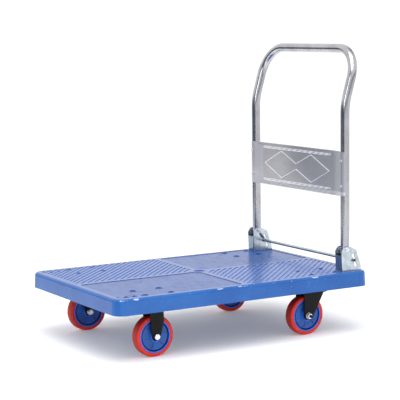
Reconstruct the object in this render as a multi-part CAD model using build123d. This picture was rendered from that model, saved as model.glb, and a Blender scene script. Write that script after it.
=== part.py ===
"""Folding platform cart: moulded deck, two rigid and two swivel casters, fold-down handle.

Millimetres. The origin is on the floor under the middle of the deck, +Z is up and +X points
along the deck to the handle. The person pushing faces -X, so "left" is the -Y side and
"front" is the -X end.
"""
from build123d import *
from math import atan2, cos, degrees, hypot, radians, sin, sqrt
import os

# ---- deck -----------------------------------------------------------------------------
DECK_L, DECK_W = 900.0, 600.0
DECK_TOP = 195.0
SKIRT_Z = 147.0                 # lower edge of the skirt
DECK_CORNER_R = 35.0
DECK_DRAFT = 2.4                # degrees, the skirt leans in towards the top
DECK_EDGE_R = 9.0
DECK_WALL = 5.0
RIB_T = 4.0
RIB_BOTTOM = 150.0
RIB_CELLS_X, RIB_CELLS_Y = 11, 7
FIELD_DEPTH = 1.2               # the four sunk fields of the tread pattern
FIELD_X0, FIELD_X1 = 10.0, 425.0
FIELD_Y0, FIELD_Y1 = 10.0, 277.0
FIELD_R = 12.0
TREAD_PITCH = 16.0              # across the diagonal ribs
TREAD_W = 8.0
MEDALLION_R, MEDALLION_SEAT = 21.0, 2.0
EDGE_MARGIN = 6.0               # raised land kept round the brackets
FOOT_GROOVE, FOOT_GROOVE_DEPTH = 1.0, 0.5   # moulded line round each bracket's foot
BOSS_R, BOSS_TOP = 12.0, DECK_TOP - 3.0
RECESS_R, RECESS_Z = 8.5, 183.0  # counterbore of a caster bolt
BOLT_HOLE_R = 4.2
HANDLE_BOSS_R, HANDLE_SEAT_Z, HANDLE_HOLE_R = 10.0, 172.0, 4.5
SEAT_MARGIN = 5.0               # room in the ribs round a caster's top plate

# ---- casters --------------------------------------------------------------------------
WHEEL_R = 62.5
TRACK_Y = 222.0                 # wheel centre from the middle of the deck
FRONT_X, REAR_X = -293.0, 298.0  # middle of each caster's top plate
TRAIL = 47.0                    # the swivel axle sits this far behind its kingpin
PLATE_X, PLATE_Y, PLATE_T = 115.0, 101.0, 3.0
PLATE_BOTTOM = 155.0
PLATE_TOP = PLATE_BOTTOM + PLATE_T
BOLT_DX, BOLT_DY = 87.5, 77.0
LEG_IN, LEG_T = 22.0, 3.0       # from the wheel's middle to the inside of a fork leg
TYRE_W, TYRE_IN_R = 34.0, 50.5
RIM_IN_R, RIM_W = 46.0, 33.0
HUB_R, HUB_W = 18.0, 35.0
COVER_R, COVER_T, COVER_Y = 43.0, 3.0, 11.0
BEARING_R, BEARING_W = 14.0, 8.0
SLEEVE_R = 6.0
AXLE_R = 5.0
CROWN_Z, CROWN_T = 134.0, 4.0   # swivel fork crown
BALL_R, BALL_RING_R, BALL_Z = 3.0, 26.0, 146.75
BALLS = 18
RACE_R, RACE_GAP = 34.0, 2.5
KINGPIN_R = 6.0

# ---- handle, brackets and release rod -------------------------------------------------
TUBE_R, TUBE_WALL = 14.0, 1.8
TUBE_X, TUBE_Y = 384.0, 256.0
LEAN_Z, LEAN = 720.0, 16.5      # where the legs start to lean back, and by how much
BAR_Z = 892.5
BAR_BEND_R, LEAN_BEND_R = 95.0, 220.0
PIVOT_X, PIVOT_Z = 380.0, 263.5
PIN_R = 5.0
BUSH_R, BUSH_L = 7.0, 30.0
BRACKET_X0, BRACKET_X1 = 359.0, 435.0
BRACKET_W, BRACKET_T = 36.0, 2.5
WEB_TOP = 245.0
BRACKET_BOLT_PITCH = 27.0
BRACKET_MID_X = (BRACKET_X0 + BRACKET_X1) / 2
ROD_X, ROD_Z = 407.0, 228.0
ROD_R, ROD_BORE_R, ROD_HALF = 5.0, 3.6, 277.0
SLOT_TOP, SLOT_LOW = (403.5, 243.0), (411.0, 211.0)
RUN = 0.06                      # radial running clearance of pins and shafts
GAP = 0.5                       # clearance between parts that move past each other
PANEL_Z0, PANEL_Z1 = 432.0, 573.0
PANEL_X, PANEL_T = 375.0, 1.5
PANEL_FLAT_Y = 222.0            # beyond this the sheet slants forward to the legs
WRAP_FROM, WRAP_TO = -10.0, 60.0    # the part of a leg it is rolled round, from -X outwards

os.makedirs("parts", exist_ok=True)


def save(name, solids):
    """Writes a node: one solid, or a list of like solids as a group."""
    shape = Compound(children=list(solids)) if isinstance(solids, list) else solids
    export_step(shape, f"parts/{name}.step")


def rod_y(r, y0, y1, x=0.0, z=0.0):
    """A round bar along Y from y0 to y1."""
    return Pos(x, (y0 + y1) / 2, z) * Rot(90, 0, 0) * Cylinder(r, abs(y1 - y0))


def rod_z(r, z0, z1, x=0.0, y=0.0):
    """A round bar along Z from z0 to z1."""
    return Pos(x, y, (z0 + z1) / 2) * Cylinder(r, abs(z1 - z0))


def block(x0, x1, y0, y1, z0, z1):
    centre = Pos((x0 + x1) / 2, (y0 + y1) / 2, (z0 + z1) / 2)
    return centre * Box(abs(x1 - x0), abs(y1 - y0), abs(z1 - z0))


def hexagon(across_flats, height):
    """A hexagonal prism on +Z, standing on z = 0, with its corners chamfered on top."""
    prism = extrude(RegularPolygon(across_flats / 2, 6, major_radius=False), height)
    cone = Pos(0, 0, height / 2) * Cylinder(across_flats / 2 * 1.09, height)
    return prism & chamfer(cone.edges().sort_by(Axis.Z)[-1], height * 0.18)


def outline(points, radii):
    """A closed XZ outline whose corners are rounded, as a face on the plane y = 0."""
    face = make_face(Polyline(*points, close=True))
    for (x, z), r in zip(points, radii):
        if r:
            corner = min(face.vertices(), key=lambda v: hypot(v.X - x, v.Y - z))
            face = fillet(corner, r)
    return face


def plate_xz(face, y0, y1):
    """An XZ outline as a flat plate that fills y0 to y1."""
    return Pos(0, y1, 0) * Rot(90, 0, 0) * extrude(face, y1 - y0)


# ---- deck -----------------------------------------------------------------------------
def deck_caster_bolts():
    """Centres of the sixteen caster bolts."""
    return [(cx + sx * BOLT_DX / 2, sy * TRACK_Y + ty * BOLT_DY / 2)
            for cx in (FRONT_X, REAR_X) for sy in (-1, 1) for sx in (-1, 1) for ty in (-1, 1)]


def bracket_holes(end):
    """Centres of the six handle holes at one end of the deck (+1 handle end, -1 front)."""
    return [(end * (BRACKET_MID_X + k * BRACKET_BOLT_PITCH), side * TUBE_Y)
            for side in (-1, 1) for k in (-1, 0, 1)]


def tread_field(sx, sy, ribbed):
    """The sunk part of one quarter of the deck: all of it, or only between the ribs."""
    w, h = FIELD_X1 - FIELD_X0, FIELD_Y1 - FIELD_Y0
    middle = Pos(sx * (FIELD_X0 + FIELD_X1) / 2, sy * (FIELD_Y0 + FIELD_Y1) / 2, 0)
    field = middle * RectangleRounded(w, h, FIELD_R)
    if ribbed:
        reach = int((FIELD_X1 + FIELD_Y1) / sqrt(2) / TREAD_PITCH) + 1
        for k in range(2, reach):
            u = sx * k * TREAD_PITCH
            field -= Rot(0, 0, 45) * Pos(0, -u, 0) * Rectangle(900, TREAD_W)
    return Pos(0, 0, DECK_TOP - FIELD_DEPTH) * extrude(field, FIELD_DEPTH + 1)


def make_deck():
    height = DECK_TOP - SKIRT_Z
    foot = Pos(0, 0, SKIRT_Z) * RectangleRounded(DECK_L, DECK_W, DECK_CORNER_R)
    shell = extrude(foot, height, taper=DECK_DRAFT)
    shell = fillet(shell.edges().group_by(Axis.Z)[-1], DECK_EDGE_R)
    inside_l, inside_w = DECK_L - 2 * DECK_WALL - 4, DECK_W - 2 * DECK_WALL - 4
    inside = RectangleRounded(inside_l, inside_w, DECK_CORNER_R - DECK_WALL)
    cavity = Pos(0, 0, SKIRT_Z) * extrude(inside, height - DECK_WALL)
    ribs = []
    for k in range(1, RIB_CELLS_X):
        x = -inside_l / 2 + k * inside_l / RIB_CELLS_X
        ribs.append(block(x - RIB_T / 2, x + RIB_T / 2, -DECK_W, DECK_W, RIB_BOTTOM, DECK_TOP))
    for k in range(1, RIB_CELLS_Y):
        y = -inside_w / 2 + k * inside_w / RIB_CELLS_Y
        ribs.append(block(-DECK_L, DECK_L, y - RIB_T / 2, y + RIB_T / 2, RIB_BOTTOM, DECK_TOP))
    hollow = cavity - ribs
    body = shell - hollow
    # seats of the caster plates, then the bosses that the bolts pass through
    for cx in (FRONT_X, REAR_X):
        for sy in (-1, 1):
            half_x, half_y = PLATE_X / 2 + SEAT_MARGIN, PLATE_Y / 2 + SEAT_MARGIN
            body -= block(cx - half_x, cx + half_x, sy * TRACK_Y - half_y, sy * TRACK_Y + half_y,
                          SKIRT_Z - 1, PLATE_TOP)
    bolts, holes = deck_caster_bolts(), bracket_holes(-1) + bracket_holes(1)
    body += [rod_z(BOSS_R, PLATE_TOP, BOSS_TOP, x, y) for x, y in bolts]
    body -= [rod_z(BOSS_R, SKIRT_Z - 1, HANDLE_SEAT_Z, x, y) for x, y in holes]
    body += [rod_z(HANDLE_BOSS_R, HANDLE_SEAT_Z, BOSS_TOP, x, y) for x, y in holes]
    body -= [rod_z(BOLT_HOLE_R, SKIRT_Z, DECK_TOP + 1, x, y) for x, y in bolts]
    body -= [rod_z(RECESS_R, RECESS_Z, DECK_TOP + 1, x, y) for x, y in bolts]
    body -= [rod_z(HANDLE_HOLE_R, SKIRT_Z, DECK_TOP + 1, x, y) for x, y in holes]
    # raised lands inside the sunk fields: round the holes, the brackets and the medallion
    low, high = DECK_TOP - 5, DECK_TOP + 5
    land_y = TUBE_Y - BRACKET_W / 2 - EDGE_MARGIN
    keep = [rod_z(RECESS_R + 3, low, high, x, y) for x, y in bolts]
    keep += [rod_z(HANDLE_HOLE_R + 3.5, low, high, x, y) for x, y in bracket_holes(-1)]
    keep += [block(BRACKET_X0 - EDGE_MARGIN, DECK_L / 2, s * land_y, s * DECK_W / 2, low, high)
             for s in (-1, 1)]
    keep.append(rod_z(MEDALLION_R + 9, low, high))
    for sx, sy in ((-1, -1), (-1, 1), (1, -1), (1, 1)):
        body -= tread_field(sx, sy, ribbed=sx * sy < 0) - keep
    for side in (-1, 1):
        body -= foot_frame(side, FOOT_GROOVE + GAP) - foot_frame(side, GAP)
    return body - rod_z(MEDALLION_R, DECK_TOP - MEDALLION_SEAT, DECK_TOP + 1)


def foot_frame(side, margin):
    """A slab over the foot of a bracket, this much wider than it all round."""
    half = BRACKET_W / 2 + margin
    return block(BRACKET_X0 - margin, BRACKET_X1 + margin, side * TUBE_Y - half, side * TUBE_Y + half,
                 DECK_TOP - FOOT_GROOVE_DEPTH, DECK_TOP + 1)


save("deck", make_deck())
badge = rod_z(MEDALLION_R - 0.2, DECK_TOP - MEDALLION_SEAT, DECK_TOP + 0.6)
badge = chamfer(badge.edges().sort_by(Axis.Z)[-1], 0.5)
save("deck_medallion", badge - rod_z(MEDALLION_R - 4, DECK_TOP - 0.2, DECK_TOP + 1))

# ---- fasteners through the deck -------------------------------------------------------
save("caster_bolts", [rod_z(4, 147.5, 183, x, y) + Pos(x, y, 183) * hexagon(13, 5.5)
                      for x, y in deck_caster_bolts()])
NUT_H = 6.3
save("caster_nuts", [Pos(x, y, PLATE_BOTTOM - NUT_H) * (hexagon(13, NUT_H) - Cylinder(4, 30))
                     for x, y in deck_caster_bolts()])
BASE_TOP = DECK_TOP + BRACKET_T
save("bracket_bolts", [rod_z(4, 163, BASE_TOP, x, y)
                       + fillet(rod_z(7, BASE_TOP, BASE_TOP + 4, x, y).edges().sort_by(Axis.Z)[-1], 3)
                       for x, y in bracket_holes(1)])
save("bracket_nuts", [Pos(x, y, 172 - NUT_H) * (hexagon(13, NUT_H) - Cylinder(4, 30))
                      for x, y in bracket_holes(1)])

# ---- handle brackets, pivot pins ------------------------------------------------------
CHEEK = [(BRACKET_X0, DECK_TOP), (BRACKET_X0, 259), (369, 272.5), (391, 272.5), (415, 261.5),
         (433, 211), (BRACKET_X1, DECK_TOP)]
CHEEK_R = [0, 9, 9, 14, 8, 8, 0]
PEEP = [(393.5, 231), (401, 230), (400.5, 223)]     # small three-cornered hole by the slot


def release_slot():
    """The slanting slot in each cheek that the release rod rides in."""
    (x0, z0), (x1, z1) = SLOT_TOP, SLOT_LOW
    length = hypot(x1 - x0, z1 - z0) + 2 * (ROD_R + 0.4)
    angle = degrees(atan2(z1 - z0, x1 - x0))
    return Pos((x0 + x1) / 2, (z0 + z1) / 2) * Rot(0, 0, angle) * SlotOverall(length, 2 * ROD_R + 0.8)


def make_bracket(side):
    y_mid = side * TUBE_Y
    y0, y1 = y_mid - BRACKET_W / 2, y_mid + BRACKET_W / 2
    face = outline(CHEEK, CHEEK_R) - release_slot() - make_face(Polyline(*PEEP, close=True))
    face -= Pos(417, 211) * Circle(2.6)
    cheeks = plate_xz(face, y0, y0 + BRACKET_T) + plate_xz(face, y1 - BRACKET_T, y1)
    base = block(BRACKET_X0, BRACKET_X1, y0, y1, DECK_TOP, BASE_TOP)
    web = block(BRACKET_X0, BRACKET_X0 + BRACKET_T, y0, y1, DECK_TOP, WEB_TOP)
    bracket = cheeks + base + web
    bracket -= rod_y(PIN_R, y0 - 1, y1 + 1, PIVOT_X, PIVOT_Z)
    for x, y in bracket_holes(1):
        if y * side > 0:
            bracket -= rod_z(4, 190, 210, x, y)
    return bracket


def make_pivot_pin(side):
    """A rivet through both cheeks; its inner end runs on as a peg for the spring's hook."""
    y_in, y_out = side * (TUBE_Y - BRACKET_W / 2), side * (TUBE_Y + BRACKET_W / 2)
    head = rod_y(7.5, y_out, y_out + side * 3, PIVOT_X, PIVOT_Z)
    rim = head.edges().sort_by(Axis.Y)[-1 if side > 0 else 0]
    collar = rod_y(7.5, y_in, y_in - side * 1.5, PIVOT_X, PIVOT_Z)
    peg = rod_y(3.5, y_in, y_in - side * 8.5, PIVOT_X, PIVOT_Z)
    return rod_y(PIN_R, y_in, y_out, PIVOT_X, PIVOT_Z) + fillet(rim, 2.4) + collar + peg


for side, name in ((-1, "left"), (1, "right")):
    save(f"handle_bracket_{name}", make_bracket(side))
    save(f"pivot_pin_{name}", make_pivot_pin(side))


# ---- handle ---------------------------------------------------------------------------
def handle_path():
    rise = (BAR_Z - LEAN_Z) / cos(radians(LEAN))
    bar_x = TUBE_X + rise * sin(radians(LEAN))
    low = PIVOT_Z - 60
    return FilletPolyline((TUBE_X, -TUBE_Y, low), (TUBE_X, -TUBE_Y, LEAN_Z), (bar_x, -TUBE_Y, BAR_Z),
                          (bar_x, TUBE_Y, BAR_Z), (TUBE_X, TUBE_Y, LEAN_Z), (TUBE_X, TUBE_Y, low),
                          radius=[LEAN_BEND_R, BAR_BEND_R, BAR_BEND_R, LEAN_BEND_R])


FOOT_R = hypot(ROD_X - PIVOT_X, ROD_Z - PIVOT_Z) - ROD_R - GAP   # the feet swing inside the rod


def foot_trim():
    """What is cut off the bottom of the legs, so that each foot is round about its pivot."""
    slab = block(TUBE_X - 60, TUBE_X + 60, -300, 300, PIVOT_Z - 80, PIVOT_Z)
    return slab - rod_y(FOOT_R, -310, 310, PIVOT_X, PIVOT_Z)


def make_handle_tube():
    path = handle_path()
    start = Plane(origin=path @ 0, z_dir=path % 0)
    tube = sweep(start * Circle(TUBE_R), path=path) - sweep(start * Circle(TUBE_R - TUBE_WALL), path=path)
    tube -= foot_trim()
    for side in (-1, 1):
        tube -= rod_y(BUSH_R, side * TUBE_Y - 20, side * TUBE_Y + 20, PIVOT_X, PIVOT_Z)
    return tube


def make_foot_plug(side):
    """The insert that closes and stiffens the foot of a leg."""
    plug = rod_z(TUBE_R - TUBE_WALL, PIVOT_Z - 60, PIVOT_Z - 10, TUBE_X, side * TUBE_Y)
    plug -= rod_z(8, PIVOT_Z - 30, PIVOT_Z, TUBE_X, side * TUBE_Y)
    return plug - foot_trim()


def make_bush(side):
    y = side * TUBE_Y
    bush = rod_y(BUSH_R, y - BUSH_L / 2, y + BUSH_L / 2, PIVOT_X, PIVOT_Z)
    return bush - rod_y(PIN_R + RUN, y - 20, y + 20, PIVOT_X, PIVOT_Z)


DIAMONDS = [(186, 505), (86, 550), (0, 514), (-86, 550), (-186, 505),
            (-86, 460), (0, 496), (86, 460), (186, 505)]
BEAD_Z, BEAD_L = (558.5, 449.5), 388.0
RIVET_Z = (543.0, 463.0)


def make_panel():
    """Pressed sheet between the legs: flat, then slanting forward, then rolled round the legs."""
    mid_r = TUBE_R + PANEL_T / 2
    end_x = TUBE_X - mid_r * cos(radians(WRAP_FROM))
    end_y = TUBE_Y + mid_r * sin(radians(WRAP_FROM))
    across = Polyline((end_x, -end_y), (PANEL_X, -PANEL_FLAT_Y), (PANEL_X, PANEL_FLAT_Y), (end_x, end_y))
    sheet = Pos(0, 0, PANEL_Z0) * extrude(trace(across, line_width=PANEL_T), PANEL_Z1 - PANEL_Z0)
    wraps = []
    for side in (-1, 1):
        y = side * TUBE_Y
        sheet -= rod_z(TUBE_R + 0.02, PANEL_Z0 - 1, PANEL_Z1 + 1, TUBE_X, y)
        rays = [(-3 * TUBE_R * cos(radians(a)), side * 3 * TUBE_R * sin(radians(a)))
                for a in (WRAP_FROM, (WRAP_FROM + WRAP_TO) / 2, WRAP_TO)]
        wedge = Pos(TUBE_X, y, PANEL_Z0 + 2) * make_face(Polyline((0, 0), *rays, close=True))
        wrap = rod_z(TUBE_R + PANEL_T, PANEL_Z0 + 2, PANEL_Z1 - 2, TUBE_X, y)
        wrap -= rod_z(TUBE_R + 0.02, PANEL_Z0, PANEL_Z1, TUBE_X, y)
        wraps.append(wrap & extrude(wedge, PANEL_Z1 - PANEL_Z0 - 4))
    panel = sheet + wraps
    x0 = PANEL_X - PANEL_T / 2
    for z in BEAD_Z:
        bead = extrude(Plane.YZ * Pos(0, z) * SlotOverall(BEAD_L, 8), -1.5)
        panel += Pos(x0, 0, 0) * bead
    ridge = extrude(Plane.YZ * trace(Polyline(*DIAMONDS), line_width=3), -0.9)
    return panel + Pos(x0, 0, 0) * ridge


def make_panel_rivets():
    """Round-headed rivets on the front of the legs; each shank ends in the tube's wall."""
    front = TUBE_X - TUBE_R - PANEL_T
    head = Pos(-0.6, 0, 0) * Rot(0, 90, 0) * Cylinder(4.5, 2.4)
    head = fillet(head.edges().sort_by(Axis.X)[0], 1.4)
    rivet = head + Pos(1.5, 0, 0) * Rot(0, 90, 0) * Cylinder(2.5, 3.4)
    return [Pos(front, side * TUBE_Y, z) * rivet for side in (-1, 1) for z in RIVET_Z]


rivets = make_panel_rivets()
save("panel_rivets", rivets)
save("handle_tube", make_handle_tube() - rivets)
save("handle_panel", make_panel() - rivets)
for side, name in ((-1, "left"), (1, "right")):
    save(f"foot_plug_{name}", make_foot_plug(side))
    save(f"pivot_bush_{name}", make_bush(side))

# ---- release rod ----------------------------------------------------------------------
release = rod_y(ROD_R, -ROD_HALF, ROD_HALF, ROD_X, ROD_Z)
save("release_rod", release - rod_y(ROD_BORE_R, -ROD_HALF - 1, ROD_HALF + 1, ROD_X, ROD_Z))
COLLAR_Y = TUBE_Y - BRACKET_W / 2 - GAP
collars = []
for side in (-1, 1):
    ring = rod_y(7.5, side * COLLAR_Y, side * (COLLAR_Y - 2), ROD_X, ROD_Z)
    collars.append(ring - rod_y(ROD_R, -300, 300, ROD_X, ROD_Z))
save("rod_collars", collars)


def make_spring(side):
    """A close-wound pull spring from the peg of the pivot pin to the release rod."""
    y = side * (TUBE_Y - BRACKET_W / 2 - 5.5)
    wire, coil_r, coil_l = 0.7, 2.6, 22.0
    dx, dz = ROD_X - PIVOT_X, ROD_Z - PIVOT_Z
    span = hypot(dx, dz)
    tilt = degrees(atan2(dx, dz))
    coil = extrude(Circle(coil_r + wire) - Circle(coil_r - wire), coil_l)
    for k in range(1, int(coil_l / (2 * wire))):
        coil -= Pos(0, 0, k * 2 * wire) * Torus(coil_r + wire, 0.25)
    start = (span - coil_l) / 2
    lead = start - 3.5 + wire
    spring = Pos(0, 0, start) * coil
    for z0, eye_r, eye_z, way in ((start, 4.3, 0, -1), (start + coil_l, 5.8, span, 1)):
        eye = Pos(0, 0, eye_z) * Rot(90, 0, 0) * Torus(eye_r, wire)
        stem_far = eye_z - way * eye_r
        stem = Pos(0, 0, (z0 + stem_far) / 2) * Cylinder(wire, abs(z0 - stem_far) + wire)
        cap = Pos(0, 0, z0 - way * 0.5) * Cylinder(coil_r + wire * 0.5, 1.0)
        spring = spring + eye + stem + cap
    return Pos(PIVOT_X, y, PIVOT_Z) * Rot(0, tilt, 0) * spring


for side, name in ((-1, "left"), (1, "right")):
    save(f"latch_spring_{name}", make_spring(side))

# ---- wheels ---------------------------------------------------------------------------
def ring_y(outer, inner, width):
    return rod_y(outer, -width / 2, width / 2) - rod_y(inner, -width, width)


def make_tyre():
    tyre = ring_y(WHEEL_R, TYRE_IN_R, TYRE_W)
    outer = [e for e in tyre.edges().filter_by(GeomType.CIRCLE) if e.radius > WHEEL_R - 1]
    return fillet(outer, 6.5)


def make_core():
    """Moulded wheel centre: rim, web and hub, with a seat for a bearing at each side."""
    core = ring_y(TYRE_IN_R, RIM_IN_R, RIM_W) + ring_y(RIM_IN_R + 1, HUB_R - 1, 6)
    core += ring_y(HUB_R, SLEEVE_R + 2, HUB_W)
    for s in (-1, 1):
        core -= rod_y(BEARING_R, s * (HUB_W / 2 - BEARING_W), s * HUB_W)
    return core


def make_cover(s):
    """Blank face disc with six faint radial ribs; three pins hold it on the web."""
    y0, y1 = s * COVER_Y, s * (COVER_Y + COVER_T)
    disc = rod_y(COVER_R, y0, y1) - rod_y(HUB_R + 0.1, s * 5, s * 20)
    for k in range(6):
        rib = block(HUB_R + 4, COVER_R - 4, y1, y1 + s * 0.5, -0.8, 0.8)
        disc += Rot(0, 60 * k + 12, 0) * rib
    for k in range(3):
        disc += Rot(0, 120 * k, 0) * rod_y(3, s * 3, y0, 30, 0)
    return disc


def make_bearing(s):
    """Ball bearing, closed by its seals; it turns on the sleeve with running clearance."""
    y0 = s * (HUB_W / 2 - BEARING_W)
    bearing = rod_y(BEARING_R, y0, s * HUB_W / 2) - rod_y(SLEEVE_R + RUN, s * 5, s * 30)
    groove = rod_y(11.5, s * (HUB_W / 2 - 0.6), s * 30) - rod_y(8.5, s * 5, s * 30)
    return bearing - groove


def fork_leg(points, radii, crease, fold, s):
    """One leg of a fork. Behind the crease line it turns in towards the wheel by fold at FLANGE."""
    (x0, z0), (x1, z1) = crease
    down = Vector(x1 - x0, 0, z1 - z0).normalized()
    bend = Plane(origin=(x0, 0, z0), x_dir=down.cross(Vector(0, -1, 0)), z_dir=down)
    away = 1 if bend.x_dir.X > 0 else -1
    up = 1 if bend.y_dir.Y > 0 else -1
    strip = [(-100, 0), (0, 0), (3 * FLANGE, -3 * fold), (3 * FLANGE, LEG_T - 3 * fold)]
    strip += [(0, LEG_T), (-100, LEG_T)]
    strip = [(away * u, up * s * (LEG_IN + v)) for u, v in strip]
    bent = extrude(bend * make_face(Polyline(*strip, close=True)), 200, both=True)
    y0, y1 = sorted((s * (LEG_IN - 2 * fold), s * (LEG_IN + LEG_T)))
    return plate_xz(outline(points, radii), y0, y1) & bent


# outlines of the fork legs, x from the axle, z above the floor
FIXED_LEG = [(-19, PLATE_BOTTOM), (-17, 76), (-13, 50.5), (11, 50.5), (28, 108), (25, PLATE_BOTTOM)]
FIXED_LEG_R = [0, 20, 9, 9, 20, 0]
SWIVEL_LEG = [(-15, CROWN_Z + CROWN_T), (-16, 50.5), (13, 50.5), (59, 130), (59, CROWN_Z + CROWN_T)]
SWIVEL_LEG_R = [0, 8, 12, 5, 0]
FLANGE = 14.0                   # width over which a leg's rear edge turns in, and by how much
FIXED_FOLD, SWIVEL_FOLD = 3.5, 3.0
FIXED_CREASE = [(14, PLATE_BOTTOM), (11.5, 76)]
SWIVEL_CREASE = [(31, CROWN_Z), (7.5, 50.5)]        # clears the sleeve and the bolt head


def make_fixed_fork():
    """Rigid caster fork: two legs bent from a strip that is welded to the top plate."""
    outer = LEG_IN + LEG_T
    top = block(-19, 25, -outer, outer, PLATE_BOTTOM - LEG_T, PLATE_BOTTOM)
    fork = top + [fork_leg(FIXED_LEG, FIXED_LEG_R, FIXED_CREASE, FIXED_FOLD, s) for s in (-1, 1)]
    fork += top_plate(0)
    return fork - rod_y(AXLE_R, -40, 40, 0, WHEEL_R)


def top_plate(x):
    plate = extrude(RectangleRounded(PLATE_X, PLATE_Y, 8), PLATE_T)
    plate = Pos(x, 0, PLATE_BOTTOM) * plate
    for sx in (-1, 1):
        for sy in (-1, 1):
            plate -= rod_z(4, 150, 160, x + sx * BOLT_DX / 2, sy * BOLT_DY / 2)
    return plate


RACE_TOP, RACE_LOW = BALL_Z + RACE_GAP / 2, BALL_Z - RACE_GAP / 2


def raceway():
    return Pos(TRAIL, 0, BALL_Z) * Torus(BALL_RING_R, BALL_R + 0.2)


def make_swivel_plate():
    """Top plate of a swivel caster, with the upper ball race pressed into it."""
    race = rod_z(RACE_R, RACE_TOP, PLATE_BOTTOM, TRAIL) - rod_z(19, RACE_TOP - 1, PLATE_BOTTOM - 3, TRAIL)
    plate = top_plate(TRAIL) + race
    return plate - raceway() - rod_z(KINGPIN_R, RACE_TOP - 9, PLATE_TOP + 1, TRAIL)


def make_swivel_fork():
    """Swivel fork: crown with the lower ball race, and two legs down to the axle."""
    outer = LEG_IN + LEG_T
    top = CROWN_Z + CROWN_T
    crown = block(-23, TRAIL + 12, -outer, outer, CROWN_Z, top) + rod_z(RACE_R, CROWN_Z, RACE_LOW, TRAIL)
    fork = crown + [fork_leg(SWIVEL_LEG, SWIVEL_LEG_R, SWIVEL_CREASE, SWIVEL_FOLD, s) for s in (-1, 1)]
    fork -= raceway() + rod_z(KINGPIN_R + RUN, CROWN_Z - 1, RACE_LOW + 1, TRAIL)
    return fork - rod_y(AXLE_R, -40, 40, 0, WHEEL_R)


def make_kingpin():
    shank = rod_z(KINGPIN_R, CROWN_Z - 3, PLATE_TOP, TRAIL)
    head = rod_z(11, CROWN_Z - 3.5 - GAP, CROWN_Z - GAP, TRAIL)
    return shank + chamfer(head.edges().sort_by(Axis.Z)[0], 1.5)


def make_balls():
    return [Pos(TRAIL, 0, BALL_Z) * Rot(0, 0, 360 / BALLS * k) * Pos(BALL_RING_R, 0, 0) * Sphere(BALL_R)
            for k in range(BALLS)]


def axle_set(head_side):
    """Axle bolt, nut with washer, and the sleeve between the legs; the head is on one side."""
    outer = LEG_IN + LEG_T
    turn = Pos(0, 0, WHEEL_R) * Rot(90 if head_side < 0 else -90, 0, 0)
    shank = Pos(0, 0, (outer - 36) / 2) * Cylinder(AXLE_R, outer + 36)
    bolt = turn * (shank + Pos(0, 0, outer) * hexagon(17, 6.5))
    washer = Pos(0, 0, -outer - 1.5) * extrude(Circle(10), 1.5)
    nut = Pos(0, 0, -outer - 9.5) * Pos(0, 0, 8) * Rot(180, 0, 0) * hexagon(17, 8)
    nut = turn * ((washer + nut) - Cylinder(AXLE_R, 200))
    sleeve = Pos(0, 0, WHEEL_R) * (rod_y(SLEEVE_R, -LEG_IN, LEG_IN) - rod_y(AXLE_R, -50, 50))
    return bolt, nut, sleeve


tyre, core = make_tyre(), make_core()
covers = [make_cover(s) for s in (-1, 1)]
bearings = [make_bearing(s) for s in (-1, 1)]
fixed_fork, swivel_fork, swivel_plate = make_fixed_fork(), make_swivel_fork(), make_swivel_plate()
kingpin, balls = make_kingpin(), make_balls()

for end, side, head_side in (("front", -1, -1), ("front", 1, 1), ("rear", -1, 1), ("rear", 1, 1)):
    name = end + ("_left" if side < 0 else "_right")
    swivel = end == "rear"
    axle_x = REAR_X - TRAIL if swivel else FRONT_X
    place = Pos(axle_x, side * TRACK_Y, 0)
    wheel = place * Pos(0, 0, WHEEL_R)
    save(f"tyre_{name}", wheel * tyre)
    save(f"wheel_core_{name}", wheel * core)
    save(f"wheel_covers_{name}", [wheel * c for c in covers])
    save(f"bearings_{name}", [wheel * b for b in bearings])
    bolt, nut, sleeve = axle_set(head_side)
    save(f"axle_bolt_{name}", place * bolt)
    save(f"axle_nut_{name}", place * nut)
    save(f"axle_sleeve_{name}", place * sleeve)
    if swivel:
        save(f"swivel_plate_{name}", place * swivel_plate)
        save(f"swivel_fork_{name}", place * swivel_fork)
        save(f"kingpin_{name}", place * kingpin)
        save(f"swivel_balls_{name}", [place * b for b in balls])
    else:
        save(f"fixed_fork_{name}", place * fixed_fork)
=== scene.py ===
"""Folding platform cart: what it looks like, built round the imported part, in metres.

The origin is on the floor under the middle of the deck, +Z is up and +X points to the handle.
"""
from math import atan2, cos, hypot, pi, radians, sin, tan

import bmesh
import bpy
from mathutils import Matrix, Vector


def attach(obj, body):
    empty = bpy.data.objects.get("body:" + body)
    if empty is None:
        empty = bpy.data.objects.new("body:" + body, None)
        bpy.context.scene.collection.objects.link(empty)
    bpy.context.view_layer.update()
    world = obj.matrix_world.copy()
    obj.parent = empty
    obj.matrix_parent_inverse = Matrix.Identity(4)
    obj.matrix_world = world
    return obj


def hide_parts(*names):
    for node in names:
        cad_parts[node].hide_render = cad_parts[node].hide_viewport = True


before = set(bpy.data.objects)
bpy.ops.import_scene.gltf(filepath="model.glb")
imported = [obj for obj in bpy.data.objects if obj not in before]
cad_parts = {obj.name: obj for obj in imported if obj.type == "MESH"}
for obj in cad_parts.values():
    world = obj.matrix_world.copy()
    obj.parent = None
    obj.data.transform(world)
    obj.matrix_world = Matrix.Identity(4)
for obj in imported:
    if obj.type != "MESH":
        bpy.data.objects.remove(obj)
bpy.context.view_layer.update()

# ---- Studio ---------------------------------------------------------------------------
# A long lens about a metre up, off the front left corner, a pale floor, a large soft light
# overhead and a smaller one from the left. The surround is white with a few darker screens,
# which the polished metal reflects.
YAW, PITCH, ROLL = 0.5324, 0.1224, -0.0125
look = Vector((sin(YAW) * cos(PITCH), cos(YAW) * cos(PITCH), -sin(PITCH)))
level = Vector((cos(YAW), -sin(YAW), 0))
upright = level.cross(look)
right = cos(ROLL) * level + sin(ROLL) * upright
above = cos(ROLL) * upright - sin(ROLL) * level
bpy.ops.object.camera_add()
camera = bpy.context.object
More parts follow.
